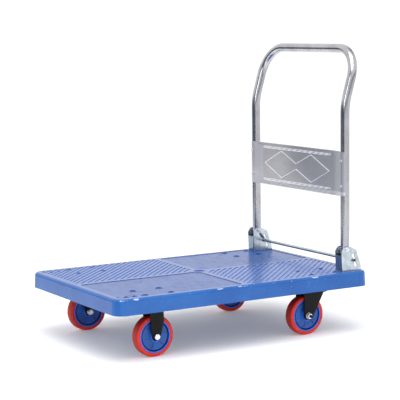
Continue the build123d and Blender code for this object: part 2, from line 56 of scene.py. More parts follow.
camera.matrix_world = Matrix.Translation((-2.28317, -3.88244, 0.97621)) @ Matrix(
    (right, above, -look)).transposed().to_4x4()
camera.data.lens = 129.12
camera.data.shift_x, camera.data.shift_y = 0.0014, -0.0002
camera.data.clip_end = 60
bpy.context.scene.camera = camera
bpy.context.scene.view_settings.view_transform = "Standard"


class Amount:
    """A shader value. Arithmetic written on it adds the Math nodes."""

    def __init__(self, finish, socket):
        self.finish, self.socket = finish, socket

    def _sum(self, operation, first, second):
        return self.finish.add("Math", {"operation": operation}, {0: first, 1: second})

    def __add__(self, other):
        return self._sum("ADD", self, other)

    def __sub__(self, other):
        return self._sum("SUBTRACT", self, other)

    def __rsub__(self, other):
        return self._sum("SUBTRACT", other, self)

    def __mul__(self, other):
        return self._sum("MULTIPLY", self, other)

    def __lt__(self, other):
        return self._sum("LESS_THAN", self, other)

    def __mod__(self, other):
        return self._sum("FLOORED_MODULO", self, other)

    def __abs__(self):
        return self._sum("ABSOLUTE", self, 0)

    __radd__, __rmul__ = __add__, __mul__

    def ramp(self, low, high):
        """0 below low, 1 above high, and smooth between them."""
        return self.finish.add("MapRange", {"interpolation_type": "SMOOTHSTEP"},
                               {"Value": self, "From Min": low, "From Max": high})


class Finish:
    """One shader tree: add() makes its nodes, and set() feeds its surface."""

    def __init__(self, name, tree=None):
        if tree is None:
            self.material = bpy.data.materials.new(name)
            self.material.use_nodes = True
            tree = self.material.node_tree
        self.tree = tree
        self.surface = next((n for n in tree.nodes if n.type in ("BSDF_PRINCIPLED", "BACKGROUND")))

    def add(self, kind, settings=(), inputs=(), output=0):
        made = self.tree.nodes.new("ShaderNode" + kind)
        for name, value in dict(settings).items():
            setattr(made, name, value)
        for name, value in dict(inputs).items():
            self.feed(made.inputs[name], value)
        return Amount(self, made.outputs[output])

    def feed(self, socket, value):
        if isinstance(value, Amount):
            self.tree.links.new(value.socket, socket)
        else:
            socket.default_value = value

    def set(self, inputs):
        for name, value in inputs.items():
            self.feed(self.surface.inputs[name], value)

    def where(self, stretch=(1, 1, 1), turn=(0, 0, 0)):
        """The point on the piece, in its own coordinates, turned and then stretched."""
        spot = self.add("TexCoord", output="Object")
        if turn != (0, 0, 0):
            spot = self.add("Mapping", {}, {"Vector": spot, "Rotation": turn})
        return self.add("VectorMath", {"operation": "MULTIPLY"}, {0: spot, 1: stretch})

    def along(self, axis):
        """The X, Y or Z of the point, in metres."""
        return self.add("SeparateXYZ", {}, {0: self.add("TexCoord", output="Object")}, output=axis)

    def facing(self, axis):
        """The X, Y or Z of the way the surface faces. It is the world's, whatever the pose."""
        return self.add("SeparateXYZ", {}, {0: self.add("NewGeometry", output="Normal")}, output=axis)

    def noise(self, scale, stretch=(1, 1, 1), detail=2.0, turn=(0, 0, 0)):
        return self.add("TexNoise", {}, {"Vector": self.where(stretch, turn), "Scale": scale,
                                         "Detail": detail})

    def blend(self, mask, under, over):
        """The colour under where the mask is 0, and over where it is 1."""
        return self.add("Mix", {"data_type": "RGBA"}, {0: mask, 6: under, 7: over}, output=2)

    def bump(self, height, distance, strength=1.0):
        return self.add("Bump", {}, {"Height": height, "Distance": distance, "Strength": strength})


def shade(red, green, blue):
    """A screen colour, 0 to 255, as the linear one that a shader takes."""
    return tuple((c / 255) ** 2.2 for c in (red, green, blue)) + (1.0,)


bpy.context.scene.world = bpy.data.worlds.new("surround")
bpy.context.scene.world.use_nodes = True
surround = Finish("surround", bpy.context.scene.world.node_tree)


def screen(bearing, spread, low, high, soft=0.14):
    """How much of a dark screen stands in a direction of the surround. The bearing is in degrees
    from the way back to the camera, positive to its right; low and high are sines of the height."""
    turn = radians(bearing)
    centre = Vector((-look.x, -look.y, 0)).normalized() * cos(turn) + level * sin(turn)
    way = surround.add("TexCoord", output="Generated")
    height = surround.add("SeparateXYZ", {}, {0: way}, output="Z")
    flat = surround.add("VectorMath", {"operation": "NORMALIZE"},
                        {0: surround.add("VectorMath", {"operation": "MULTIPLY"}, {0: way, 1: (1, 1, 0)})})
    facing = surround.add("VectorMath", {"operation": "DOT_PRODUCT"}, {0: flat, 1: centre}, output="Value")
    edge = cos(radians(spread))
    side = facing.ramp(edge - soft * sin(radians(spread)), edge + soft * sin(radians(spread)))
    return side * height.ramp(low - 0.06, low + 0.04) * (1 - height.ramp(high - 0.05, high + 0.05))


dark = screen(-40, 24, -0.6, 0.75)
low_dark = screen(-90, 38, -0.5, 0.13)
dusky = screen(147, 14, -0.6, 0.9)
sky = surround.blend(dark, shade(255, 255, 255), shade(56, 66, 94))
sky = surround.blend(low_dark, sky, shade(94, 100, 114))
sky = surround.blend(dusky, sky, shade(150, 153, 162))
sky = surround.blend(screen(0, 100, 0.03, 0.17), sky, shade(96, 102, 114))
surround.set({"Color": sky, "Strength": 1.05})

for spot, size, energy in (((-0.6, -0.9, 3.2), 2.6, 62), ((-2.6, -1.6, 1.7), 1.2, 16)):
    bpy.ops.object.light_add(type="AREA", location=spot)
    lamp = bpy.context.object
    lamp.rotation_euler = (Vector((0.1, 0, 0.25)) - lamp.location).to_track_quat("-Z", "Y").to_euler()
    lamp.data.size, lamp.data.energy = size, energy

bpy.ops.mesh.primitive_circle_add(vertices=96, radius=2.3, fill_type="NGON")
floor = bpy.context.object
floor.name = "studio_floor"
paper = Finish("floor_paper")
grain = paper.noise(60, detail=1)
paper.set({"Base Color": paper.blend(grain, shade(243, 243, 244), shade(249, 249, 250)),
           "Roughness": 0.9, "Specular IOR Level": 0.1,
           "Emission Color": (1, 1, 1, 1), "Emission Strength": 0.16})
floor.data.materials.append(paper.material)

# ---- Deck -----------------------------------------------------------------------------
# One structural-foam moulding in blue plastic: a drafted skirt, a flat top with four sunk tread
# fields (two plain, two with diagonal ribs), a grid of ribs below, and seats and bosses for the
# casters and the handle. The bolts pass through its counterbored holes.
DECK_X, DECK_Y, DECK_TOP, SKIRT_Z, CEILING_Z = 0.450, 0.300, 0.195, 0.147, 0.190
RIB_LOW, SEAT_Z = 0.150, 0.158
CASTER_X, TRACK_Y = (-0.293, 0.298), 0.222
HANDLE_HOLES_X, HANDLE_Y = (0.370, 0.397, 0.424), 0.256
FIELD_LOW = DECK_TOP - 0.0012
SEAT_HALF_X, SEAT_HALF_Y = 0.0625, 0.0555       # half of a caster's seat
BOLT_X, BOLT_Y = 0.04375, 0.0385                # a caster's bolts, from its middle


def solo(obj):
    """Leaves obj the only one selected, and active."""
    bpy.ops.object.select_all(action="DESELECT")
    obj.select_set(True)
    bpy.context.view_layer.objects.active = obj
    return obj


def settle(obj):
    """Puts the object's place and size into its mesh."""
    solo(obj)
    bpy.ops.object.transform_apply()
    return obj


def add_block(low, high, name="block"):
    """A box between two corners."""
    low, high = Vector(low), Vector(high)
    bpy.ops.object.select_all(action="DESELECT")
    bpy.ops.mesh.primitive_cube_add(size=1, location=(low + high) / 2)
    block = bpy.context.object
    block.scale, block.name = high - low, name
    return settle(block)


def add_bar(radius, start, end, sides=32, name="bar"):
    """A round bar from one point to another."""
    start, end = Vector(start), Vector(end)
    bpy.ops.object.select_all(action="DESELECT")
    bpy.ops.mesh.primitive_cylinder_add(vertices=sides, radius=radius, depth=(end - start).length,
                                        location=(start + end) / 2)
    bar = bpy.context.object
    bar.rotation_euler = (end - start).to_track_quat("Z", "Y").to_euler()
    bar.name = name
    return settle(bar)


def pick(obj, kind, test):
    """Opens obj for editing with only the faces, edges or verts selected that pass the test."""
    if obj.mode != "EDIT":
        solo(obj)
        bpy.ops.object.mode_set(mode="EDIT")
    bpy.ops.mesh.select_mode(type=kind)
    bpy.ops.mesh.select_all(action="DESELECT")
    mesh = bmesh.from_edit_mesh(obj.data)
    for part in {"FACE": mesh.faces, "EDGE": mesh.edges, "VERT": mesh.verts}[kind]:
        if test(part):
            part.select_set(True)
    mesh.select_flush_mode()
    bmesh.update_edit_mesh(obj.data)


def middle(part):
    """The middle of an edge or a face."""
    return sum((v.co for v in part.verts), Vector()) / len(part.verts)


def done(obj):
    """Ends the editing."""
    bpy.ops.object.mode_set(mode="OBJECT")
    return obj


def extrude(move):
    bpy.ops.mesh.extrude_region_move(TRANSFORM_OT_translate={"value": move})


def join(first, *others):
    """Makes several objects one mesh."""
    solo(first)
    for other in others:
        other.select_set(True)
    bpy.ops.object.join()
    return first


def carve(obj, tool, how="DIFFERENCE"):
    """Cuts the tool out of obj, or adds it, and throws the tool away."""
    solo(obj)
    change = obj.modifiers.new("carve", "BOOLEAN")
    change.operation, change.solver, change.object = how, "EXACT", tool
    bpy.ops.object.modifier_apply(modifier=change.name)
    bpy.data.objects.remove(tool)
    return obj


def soften(obj, width, angle=35, segments=1):
    """Breaks the sharp edges by a small bevel."""
    solo(obj)
    change = obj.modifiers.new("soften", "BEVEL")
    change.width, change.segments, change.angle_limit = width, segments, radians(angle)
    change.use_clamp_overlap = True
    bpy.ops.object.modifier_apply(modifier=change.name)
    return obj


def even(obj, angle=35):
    """Smooth shading between the sharp edges, with flat faces kept flat."""
    solo(obj)
    bpy.ops.object.shade_smooth_by_angle(angle=radians(angle))
    change = obj.modifiers.new("even", "WEIGHTED_NORMAL")
    change.keep_sharp = True
    bpy.ops.object.modifier_apply(modifier=change.name)
    return obj


def dress(obj, finish, slot, body, *stands_for):
    """Gives a finished piece its material and its body, and hides the nodes it stands for. The slot is not
    used.
    """
    if obj.data.materials:
        obj.data.materials[0] = finish.material
    else:
        obj.data.materials.append(finish.material)
    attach(obj, body)
    if stands_for:
        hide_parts(*stands_for)
    return obj


deck = add_block((-DECK_X, -DECK_Y, SKIRT_Z), (DECK_X, DECK_Y, DECK_TOP), "moulded_deck")
pick(deck, "EDGE", lambda e: abs(e.verts[0].co.z - e.verts[1].co.z) > 0.01)
bpy.ops.mesh.bevel(offset=0.035, segments=10, affect="EDGES")
pick(deck, "VERT", lambda v: v.co.z > 0.19)
draft = (DECK_TOP - SKIRT_Z) * tan(radians(2.4))
bpy.ops.transform.resize(value=(1 - draft / DECK_X, 1 - draft / DECK_Y, 1), center_override=(0, 0, DECK_TOP))
pick(deck, "EDGE", lambda e: min(v.co.z for v in e.verts) > 0.19)
bpy.ops.mesh.bevel(offset=0.009, segments=6, affect="EDGES")
pick(deck, "FACE", lambda f: f.normal.z < -0.9)
bpy.ops.mesh.inset(thickness=0.007)
extrude((0, 0, CEILING_Z - SKIRT_Z))

rib_x = [-0.443 + k * 0.886 / 11 for k in range(1, 11)]
rib_y = [-0.293 + k * 0.586 / 7 for k in range(1, 7)]
seats = [(x, y) for x in CASTER_X for y in (-TRACK_Y, TRACK_Y)]
cuts = [((x + s * 0.002, 0, 0), (1, 0, 0)) for x in rib_x for s in (-1, 1)]
cuts += [((0, y + s * 0.002, 0), (0, 1, 0)) for y in rib_y for s in (-1, 1)]
cuts += [((x + s * SEAT_HALF_X, 0, 0), (1, 0, 0)) for x in CASTER_X for s in (-1, 1)]
cuts += [((0, y + s * SEAT_HALF_Y, 0), (0, 1, 0)) for y in (-TRACK_Y, TRACK_Y) for s in (-1, 1)]


def facing_down(face, height):
    return face.normal.z < -0.9 and abs(middle(face).z - height) < 0.0005


def on_rib(spot):
    return min(abs(spot.x - x) for x in rib_x) < 0.002 or min(abs(spot.y - y) for y in rib_y) < 0.002


def over_seat(spot):
    return any(abs(spot.x - x) < SEAT_HALF_X and abs(spot.y - y) < SEAT_HALF_Y for x, y in seats)


for point, normal in cuts:
    pick(deck, "FACE", lambda f: facing_down(f, CEILING_Z))
    bpy.ops.mesh.bisect(plane_co=point, plane_no=normal)
pick(deck, "FACE", lambda f: facing_down(f, CEILING_Z) and on_rib(middle(f)))
extrude((0, 0, SEAT_Z - CEILING_Z))
pick(deck, "FACE", lambda f: facing_down(f, SEAT_Z) and not over_seat(middle(f)))
extrude((0, 0, RIB_LOW - SEAT_Z))
done(deck)

caster_bolts = [(x + a * BOLT_X, y + b * BOLT_Y) for x, y in seats for a in (-1, 1) for b in (-1, 1)]
handle_holes = [(end * x, side * HANDLE_Y) for end in (-1, 1) for x in HANDLE_HOLES_X for side in (-1, 1)]
bosses = [add_bar(0.012, (x, y, SEAT_Z), (x, y, 0.192)) for x, y in caster_bolts]
bosses += [add_bar(0.010, (x, y, 0.172), (x, y, 0.192)) for x, y in handle_holes]
carve(deck, join(*bosses), "UNION")
holes = [add_bar(0.0085, (x, y, 0.183), (x, y, 0.200), 40) for x, y in caster_bolts]
holes += [add_bar(0.0045, (x, y, 0.140), (x, y, 0.200)) for x, y in handle_holes]
carve(deck, join(*holes))
holes = [add_bar(0.0042, (x, y, 0.140), (x, y, 0.190), 24) for x, y in caster_bolts]
holes.append(add_bar(0.021, (0, 0, 0.193), (0, 0, 0.200), 72))
carve(deck, join(*holes))

PITCH_OF_RIBS, RIB_HALF = 0.016, 0.0042
for side_x, side_y in ((-1, -1), (-1, 1), (1, -1), (1, 1)):
    ends_x, ends_y = sorted((side_x * 0.010, side_x * 0.425)), sorted((side_y * 0.010, side_y * 0.277))
    field = add_block((ends_x[0], ends_y[0], FIELD_LOW), (ends_x[1], ends_y[1], DECK_TOP + 0.0008))
    pick(field, "EDGE", lambda e: abs(e.verts[0].co.z - e.verts[1].co.z) > 0.001)
    bpy.ops.mesh.bevel(offset=0.012, segments=6, affect="EDGES")
    done(field)
    if side_x * side_y < 0:
        ribs = []
        for k in range(2, 32):
            across = side_x * k * PITCH_OF_RIBS
            rib = add_block((-0.45, -across - RIB_HALF, FIELD_LOW - 0.0005),
                            (0.45, -across + RIB_HALF, DECK_TOP + 0.002))
            pick(rib, "FACE", lambda f: f.normal.z > 0.9)
            bpy.ops.transform.resize(value=(1, 0.80, 1), center_override=(0, -across, DECK_TOP))
            ribs.append(done(rib))
        ribs = join(*ribs)
        ribs.rotation_euler.z = radians(45)
        carve(field, settle(ribs))
    kept = [add_bar(0.0115, (x, y, 0.190), (x, y, 0.197), 40) for x, y in caster_bolts
            if x * side_x > 0 and y * side_y > 0]
    kept += [add_bar(0.008, (-x, y, 0.190), (-x, y, 0.197)) for x in HANDLE_HOLES_X
             for y in (-HANDLE_Y, HANDLE_Y) if -x * side_x > 0 and y * side_y > 0]
    if side_x > 0:
        kept.append(add_block((0.3545, min(side_y * 0.232, side_y * 0.31), 0.19),
                              (0.46, max(side_y * 0.232, side_y * 0.31), 0.20)))
    kept.append(add_bar(0.030, (0, 0, 0.190), (0, 0, 0.198), 72))
    carve(field, join(*kept))
    carve(deck, field)
for side in (-1, 1):
    outer = add_block((0.3575, side * HANDLE_Y - 0.0195, 0.1945), (0.4365, side * HANDLE_Y + 0.0195, 0.196))
    inner = add_block((0.3585, side * HANDLE_Y - 0.0185, 0.1940), (0.4355, side * HANDLE_Y + 0.0185, 0.197))
    carve(deck, carve(outer, inner))
even(deck)

plastic = Finish("deck_blue_plastic")
height = plastic.along("Z")
border = abs(plastic.along("X")).ramp(0.426, 0.441) + abs(plastic.along("Y")).ramp(0.277, 0.292)
raised = height.ramp(FIELD_LOW + 0.0002, DECK_TOP - 0.0002) * (1 - 0.8 * border.ramp(0, 1))
inner = (abs(plastic.along("X")) < 0.4265) * (abs(plastic.along("Y")) < 0.2785)
sunk = (1 - raised) * (height.ramp(FIELD_LOW - 0.0006, FIELD_LOW - 0.0003)) * inner
top_side = plastic.facing("Z").ramp(0.25, 0.9)
mottle = plastic.noise(7, detail=4)
fine = plastic.noise(420, detail=3)
wear = plastic.noise(35, detail=5).ramp(0.52, 0.66)
specks = plastic.noise(260, detail=2).ramp(0.70, 0.74)
streaks = plastic.noise(60, (1, 0.12, 1), detail=4, turn=(0, 0, radians(18)))
rim = height.ramp(0.1885, 0.1900) * (1 - height.ramp(0.1936, 0.1939))
# Along the rounded rim near the border, white marks are painted: partly nicks, partly painted glints where
# the rim's highlight runs.
nicks_and_glints = rim * border.ramp(0.85, 0.98) * plastic.noise(75, (0.4, 0.8, 1), detail=3).ramp(0.665, 0.70)
colour = plastic.blend(mottle.ramp(0.3, 0.7), shade(22, 84, 160), shade(30, 96, 172))
# The raised tops, where they face up, are painted paler and greyer, fading out at the outer border: a
# painted reflection of the bright surround.
colour = plastic.blend(raised * top_side, colour, shade(62, 92, 156))
colour = plastic.blend(wear * raised * top_side * 0.4, colour, shade(104, 126, 184))
grooved = sunk * (plastic.along("X") * plastic.along("Y") < 0)
streaked = plastic.blend(streaks.ramp(0.35, 0.65), shade(14, 68, 142), shade(38, 84, 154))
colour = plastic.blend(sunk, colour, streaked)
colour = plastic.blend(grooved, colour, shade(24, 92, 178))
colour = plastic.blend(specks * 0.5, colour, shade(170, 190, 222))
colour = plastic.blend(nicks_and_glints * 0.7, colour, shade(214, 224, 242))
plastic.set({"Base Color": colour,
             "Roughness": 0.20 + 0.08 * sunk + 0.06 * wear,
             "Specular IOR Level": 0.5, "IOR": 1.5,
             "Normal": plastic.bump(0.08 * fine + 0.3 * mottle, 0.0004, 0.4)})
dress(deck, plastic, "deck_plastic", "platform", "deck")

# ---- Medallion ------------------------------------------------------------------------
# A round plastic badge pressed into the middle of the deck, darker than it, with a raised rim
# and nothing on its face.
def add_turned(name, profile, centre=(0, 0, 0), axis="Y", sides=96):
    """A ring or drum drawn out, circle by circle, along a closed profile of (radius, distance)."""
    centre = Vector(centre)
    run = Vector((0, 1, 0)) if axis == "Y" else Vector((0, 0, 1))
    bpy.ops.object.select_all(action="DESELECT")
    radius, at = profile[0]
    bpy.ops.mesh.primitive_circle_add(vertices=sides, radius=radius, location=centre + run * at,
                                      rotation=(pi / 2, 0, 0) if axis == "Y" else (0, 0, 0))
    ring = settle(bpy.context.object)
    ring.name = name
    bpy.ops.object.mode_set(mode="EDIT")
    bpy.ops.mesh.select_all(action="SELECT")
    for (r0, a0), (r1, a1) in zip(profile, profile[1:] + profile[:1]):
        bpy.ops.mesh.extrude_edges_move(TRANSFORM_OT_translate={"value": run * (a1 - a0)})
        grow = r1 / r0
        bpy.ops.transform.resize(value=(grow, 1, grow) if axis == "Y" else (grow, grow, 1),
                                 center_override=centre + run * a1)
    bpy.ops.mesh.select_all(action="SELECT")
    bpy.ops.mesh.remove_doubles(threshold=0.00001)
    bpy.ops.mesh.normals_make_consistent(inside=False)
    return done(ring)


badge = add_turned("blank_medallion", [
    (0.0004, 0.1931), (0.0207, 0.1931), (0.0208, 0.1951), (0.0203, 0.1956), (0.0182, 0.1956),
    (0.0176, 0.1949), (0.0168, 0.1948), (0.0004, 0.1950)], axis="Z", sides=72)
even(badge)
badge_blue = Finish("medallion_plastic")
from_middle = badge_blue.add("VectorMath", {"operation": "LENGTH"}, {0: badge_blue.where((1, 1, 0))},
                             output="Value")
badge_blue.set({
    "Base Color": badge_blue.blend(from_middle.ramp(0.0172, 0.0180),
                                   shade(34, 60, 142), shade(136, 150, 206)),
    "Specular IOR Level": 0.25, "Roughness": 0.40 + 0.2 * badge_blue.noise(300, detail=3),
    "Normal": badge_blue.bump(badge_blue.noise(500), 0.0002, 0.4)})
dress(badge, badge_blue, "badge_plastic", "platform", "deck_medallion")

# ---- Caster bolts and nuts ------------------------------------------------------------
# Sixteen zinc-plated M8 hexagon bolts stand in the deck's counterbores, and their nuts clamp the
# casters' top plates from below.
zinc = Finish("zinc_plate")
cloud = zinc.noise(90, detail=4)
fleck = zinc.noise(900, detail=2)
zinc.set({"Base Color": zinc.blend(cloud.ramp(0.35, 0.65), shade(196, 204, 222), shade(226, 232, 244)),
          "Metallic": 1.0, "Roughness": 0.20 + 0.22 * cloud,
          "Normal": zinc.bump(fleck, 0.0001, 0.35)})


def refine(name, finish, width=0.0):
    """Keeps a node of the part: its loose triangles are welded by live modifiers, its edges are
    broken a little, and it gets its finish."""
    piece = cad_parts[name]
    weld = piece.modifiers.new("weld", "WELD")
    weld.merge_threshold = 0.00001
    if width:
        flat = piece.modifiers.new("flat", "DECIMATE")
        flat.decimate_type, flat.angle_limit = "DISSOLVE", radians(4)
        edge = piece.modifiers.new("edge", "BEVEL")
        edge.width, edge.segments, edge.angle_limit = width, 2, radians(38)
        edge.harden_normals = False
    for slot in piece.material_slots:
        slot.material = finish.material
    return piece


for name in ("caster_bolts", "caster_nuts"):
    refine(name, zinc, 0.0004)

# ---- Rigid caster forks ---------------------------------------------------------------
# The front casters' forks: two legs bent down from a welded top strip, black lacquered, each
# with its trailing edge turned in as a stiffening flange, under a bolted top plate.
LEG_IN, LEG_OUT, AXLE_Z = 0.022, 0.025, 0.0625
PLATE_LOW, PLATE_TOP = 0.155, 0.158
sides = (("left", -1), ("right", 1))


def corner_cut(before, corner, after, radius):
    """How far from a corner a bevel has to start to round it to this radius."""
    into, out = (corner - before).normalized(), (after - corner).normalized()
    return radius * tan(into.angle(out) / 2)


def add_plate(name, outline, radii, low, high):
    """A sheet cut to a convex outline of (x, z), anticlockwise or not, between two values of y."""
    points = [Vector((x, 0, z)) for x, z in outline]
    heart = sum(points, Vector()) / len(points)
    xs, zs = [p.x for p in points], [p.z for p in points]
    sheet = add_block((min(xs) - 0.01, low, min(zs) - 0.01), (max(xs) + 0.01, high, max(zs) + 0.01), name)
    for start, end in zip(points, points[1:] + points[:1]):
        away = (end - start).cross(Vector((0, 1, 0))).normalized()
        away = away if away.dot(heart - start) < 0 else -away
        pick(sheet, "FACE", lambda f: True)
        bpy.ops.mesh.bisect(plane_co=start, plane_no=away, clear_outer=True, use_fill=True)
    for k, radius in enumerate(radii):
        if radius:
            corner = points[k]
            pick(sheet, "EDGE", lambda e: all(
                hypot(v.co.x - corner.x, v.co.z - corner.z) < 0.0002 for v in e.verts))
            offset = corner_cut(points[k - 1], corner, points[(k + 1) % len(points)], radius)
            bpy.ops.mesh.bevel(offset=offset, segments=7, affect="EDGES")
    return done(sheet)


def add_leg(outline, radii, crease, depth, side):
    """One fork leg, at y = 0 of its wheel. Behind the slanting crease line it turns in by depth."""
    inner, outer = sorted((side * LEG_IN, side * LEG_OUT))
    leg = add_plate("leg", outline, radii, inner, outer)
    (x0, z0), (x1, z1) = crease
    fold = Vector((x1 - x0, 0, z1 - z0))
    away = fold.cross(Vector((0, 1, 0))).normalized()
    away = away if away.x > 0 else -away
    pick(leg, "FACE", lambda f: True)
    bpy.ops.mesh.bisect(plane_co=(x0, 0, z0), plane_no=away)
    done(leg)
    reach = max((v.co - Vector((x0, 0, z0))).dot(away) for v in leg.data.vertices)
    for step in range(1, 5):
        near = reach * (step - 0.5) / 4
        pick(leg, "VERT", lambda v: (v.co - Vector((x0, 0, z0))).dot(away) > near)
        bpy.ops.transform.translate(value=(0, -side * depth / 4, 0))
        done(leg)
    return leg


def add_top_plate(middle_x):
    """The caster's rectangular top plate, with four bolt holes."""
    plate = add_block((middle_x - 0.0575, -0.0505, PLATE_LOW),
                      (middle_x + 0.0575, 0.0505, PLATE_TOP), "plate")
    pick(plate, "EDGE", lambda e: abs(e.verts[0].co.z - e.verts[1].co.z) > 0.001)
    bpy.ops.mesh.bevel(offset=0.008, segments=5, affect="EDGES")
    done(plate)
    holes = [add_bar(0.004, (middle_x + a * BOLT_X, b * BOLT_Y, 0.150),
                     (middle_x + a * BOLT_X, b * BOLT_Y, 0.162), 24)
             for a in (-1, 1) for b in (-1, 1)]
    return carve(plate, join(*holes))


def copy_to(obj, name, shift):
    """A copy of a finished shape, with its own mesh, moved into place."""
    copy = obj.copy()
    copy.data = obj.data.copy()
    bpy.context.scene.collection.objects.link(copy)
    copy.name = name
    copy.location = shift
    return settle(copy)


black = Finish("black_lacquer")
orange_peel = black.noise(260, detail=2)
scuff = black.noise(40, detail=6).ramp(0.60, 0.72)
black.set({"Base Color": black.blend(scuff * 0.5, shade(7, 7, 8), shade(22, 22, 24)),
           "Roughness": 0.40 + 0.2 * scuff, "Specular IOR Level": 0.2,
           "Normal": black.bump(orange_peel, 0.0003, 0.4)})

FIXED_LEG = [(-0.019, 0.155), (-0.017, 0.076), (-0.013, 0.0505),
             (0.011, 0.0505), (0.028, 0.108), (0.025, 0.155)]
FIXED_CREASE = [(0.014, 0.155), (0.0115, 0.076)]
legs = [add_leg(FIXED_LEG, [0, 0.02, 0.009, 0.009, 0.02, 0], FIXED_CREASE, 0.0035, s) for s in (-1, 1)]
top_strip = add_block((-0.019, -LEG_OUT, 0.152), (0.021, LEG_OUT, 0.1551))
rigid = join(legs[0], legs[1], top_strip, add_top_plate(0))
carve(rigid, add_bar(0.005, (0, -0.04, AXLE_Z), (0, 0.04, AXLE_Z)))
soften(rigid, 0.0005)
even(rigid)
for name, side in sides:
    fork = copy_to(rigid, "rigid_fork_" + name, (CASTER_X[0], side * TRACK_Y, 0))
    dress(fork, black, "fork_black", "platform", "fixed_fork_front_" + name)
bpy.data.objects.remove(rigid)

# ---- Swivel caster forks --------------------------------------------------------------
# The rear casters' forks trail their kingpins. A pressed crown carries the lower ball race, and
# the legs sweep down and back to the axle. The upper race is pressed into the top plate.
TRAIL = 0.047
SWIVEL_LEG = [(-0.015, 0.138), (-0.016, 0.0505), (0.013, 0.0505), (0.059, 0.130), (0.059, 0.138)]
SWIVEL_CREASE = [(0.031, 0.134), (0.0075, 0.0505)]
legs = [add_leg(SWIVEL_LEG, [0, 0.008, 0.012, 0.005, 0], SWIVEL_CREASE, 0.003, s) for s in (-1, 1)]
crown = add_block((-0.016, -LEG_OUT, 0.134), (0.059, LEG_OUT, 0.138), "crown")
pick(crown, "EDGE", lambda e: abs(e.verts[0].co.z - e.verts[1].co.z) > 0.001)
bpy.ops.mesh.bevel(offset=0.004, segments=4, affect="EDGES")
done(crown)
race = add_turned("race", [(0.0062, 0.134), (0.034, 0.134), (0.034, 0.1450), (0.0335, 0.1455),
                           (0.0285, 0.1455), (0.0275, 0.1440), (0.0260, 0.1436), (0.0245, 0.1440),
                           (0.0235, 0.1455), (0.0062, 0.1455)], (TRAIL, 0, 0), "Z", 64)
swivel = join(legs[0], legs[1], crown, race)
carve(swivel, add_bar(0.005, (0, -0.04, AXLE_Z), (0, 0.04, AXLE_Z)))
soften(swivel, 0.0005)
even(swivel)
for name, side in sides:
    fork = copy_to(swivel, "swivel_fork_" + name, (CASTER_X[1] - TRAIL, side * TRACK_Y, 0))
    dress(fork, black, "fork_black", "swivel_" + name, "swivel_fork_rear_" + name)
bpy.data.objects.remove(swivel)

bearing_steel = Finish("bearing_steel")
turned_marks = bearing_steel.noise(700, detail=2)
bearing_steel.set({
    "Base Color": bearing_steel.blend(turned_marks, shade(150, 154, 162), shade(196, 200, 208)),
    "Metallic": 1.0, "Roughness": 0.22 + 0.15 * turned_marks})
for name, side in sides:
    refine("swivel_plate_rear_" + name, black, 0.0005)
    refine("kingpin_rear_" + name, zinc, 0.0004)
    refine("swivel_balls_rear_" + name, bearing_steel)

# ---- Wheels ---------------------------------------------------------------------------
# A red rubber tyre is moulded on a blue nylon centre: rim, web and hub, with a ball bearing at
# each side. Two blue discs close its faces, blank but for six thin radial grooves.
def mirrored(half):
    """A closed profile from its half at y < 0, which starts and ends next to y = 0."""
    return half + [(r, -a) for r, a in reversed(half)]


tyre = add_turned("tyre", mirrored([
    (0.0505, -0.0150), (0.0507, -0.0164), (0.0520, -0.0170), (0.0532, -0.0170), (0.0536, -0.0166),
    (0.0542, -0.0166), (0.0546, -0.0170), (0.0565, -0.0170), (0.0583, -0.0166), (0.0600, -0.0154),
    (0.0614, -0.0136), (0.0622, -0.0115), (0.0625, -0.0092), (0.0625, -0.0003)]), (0, 0, AXLE_Z))
even(tyre, 50)
core = add_turned("core", mirrored([
    (0.0080, -0.0095), (0.0140, -0.0095), (0.0140, -0.0171), (0.0144, -0.0175), (0.0176, -0.0175),
    (0.0180, -0.0171), (0.0180, -0.0030), (0.0440, -0.0030), (0.0460, -0.0050), (0.0460, -0.0120),
    (0.0460, -0.0150), (0.0466, -0.0165), (0.0499, -0.0165), (0.0505, -0.0159)]), (0, 0, AXLE_Z))


def sector(spot, count, shift=0.0):
    """Which of count equal sectors round the axle a point is in, as a number."""
    return (atan2(spot.z - AXLE_Z, spot.x) / (2 * pi) * count + shift) % count


def from_axle(spot):
    return hypot(spot.x, spot.z - AXLE_Z)


pick(core, "FACE", lambda f: abs(from_axle(middle(f)) - 0.0460) < 0.0002
     and 0.0119 < abs(middle(f).y) < 0.0151 and int(sector(middle(f), 96)) % 2 == 0)
bpy.ops.mesh.extrude_faces_move(TRANSFORM_OT_shrink_fatten={"value": 0.0014})
done(core)
even(core)


def second_finish(obj, finish, test):
    """Gives the faces that pass the test the piece's second material."""
    obj.data.materials.append(None)
    obj.data.materials.append(finish.material)
    pick(obj, "FACE", test)
    obj.active_material_index = 1
    bpy.ops.object.material_slot_assign()
    done(obj)


# Near-black painted shade: the hollow inside the wheel's rim, the discs' outer rims and the floors of their
# grooves take it as a second material, where shade falls.
painted_shade_black = Finish("painted_shade_black")
shade_grain = painted_shade_black.noise(300, detail=2)
painted_shade_black.set({"Base Color": painted_shade_black.blend(shade_grain, shade(8, 9, 14), shade(18, 20, 28)), "Roughness": 0.55})
second_finish(core, painted_shade_black, lambda f: 0.0185 < from_axle(middle(f)) < 0.04605
              and abs(middle(f).y) < 0.0152)
DISC_FACE, DISC_EDGE, DISC_OUT = (0.022, 0.0385), 0.0424, 0.0130    # the disc's flat, and its dark rim


def on_disc_flat(face):
    return DISC_FACE[0] < from_axle(middle(face)) < DISC_FACE[1] and abs(face.normal.y) > 0.9


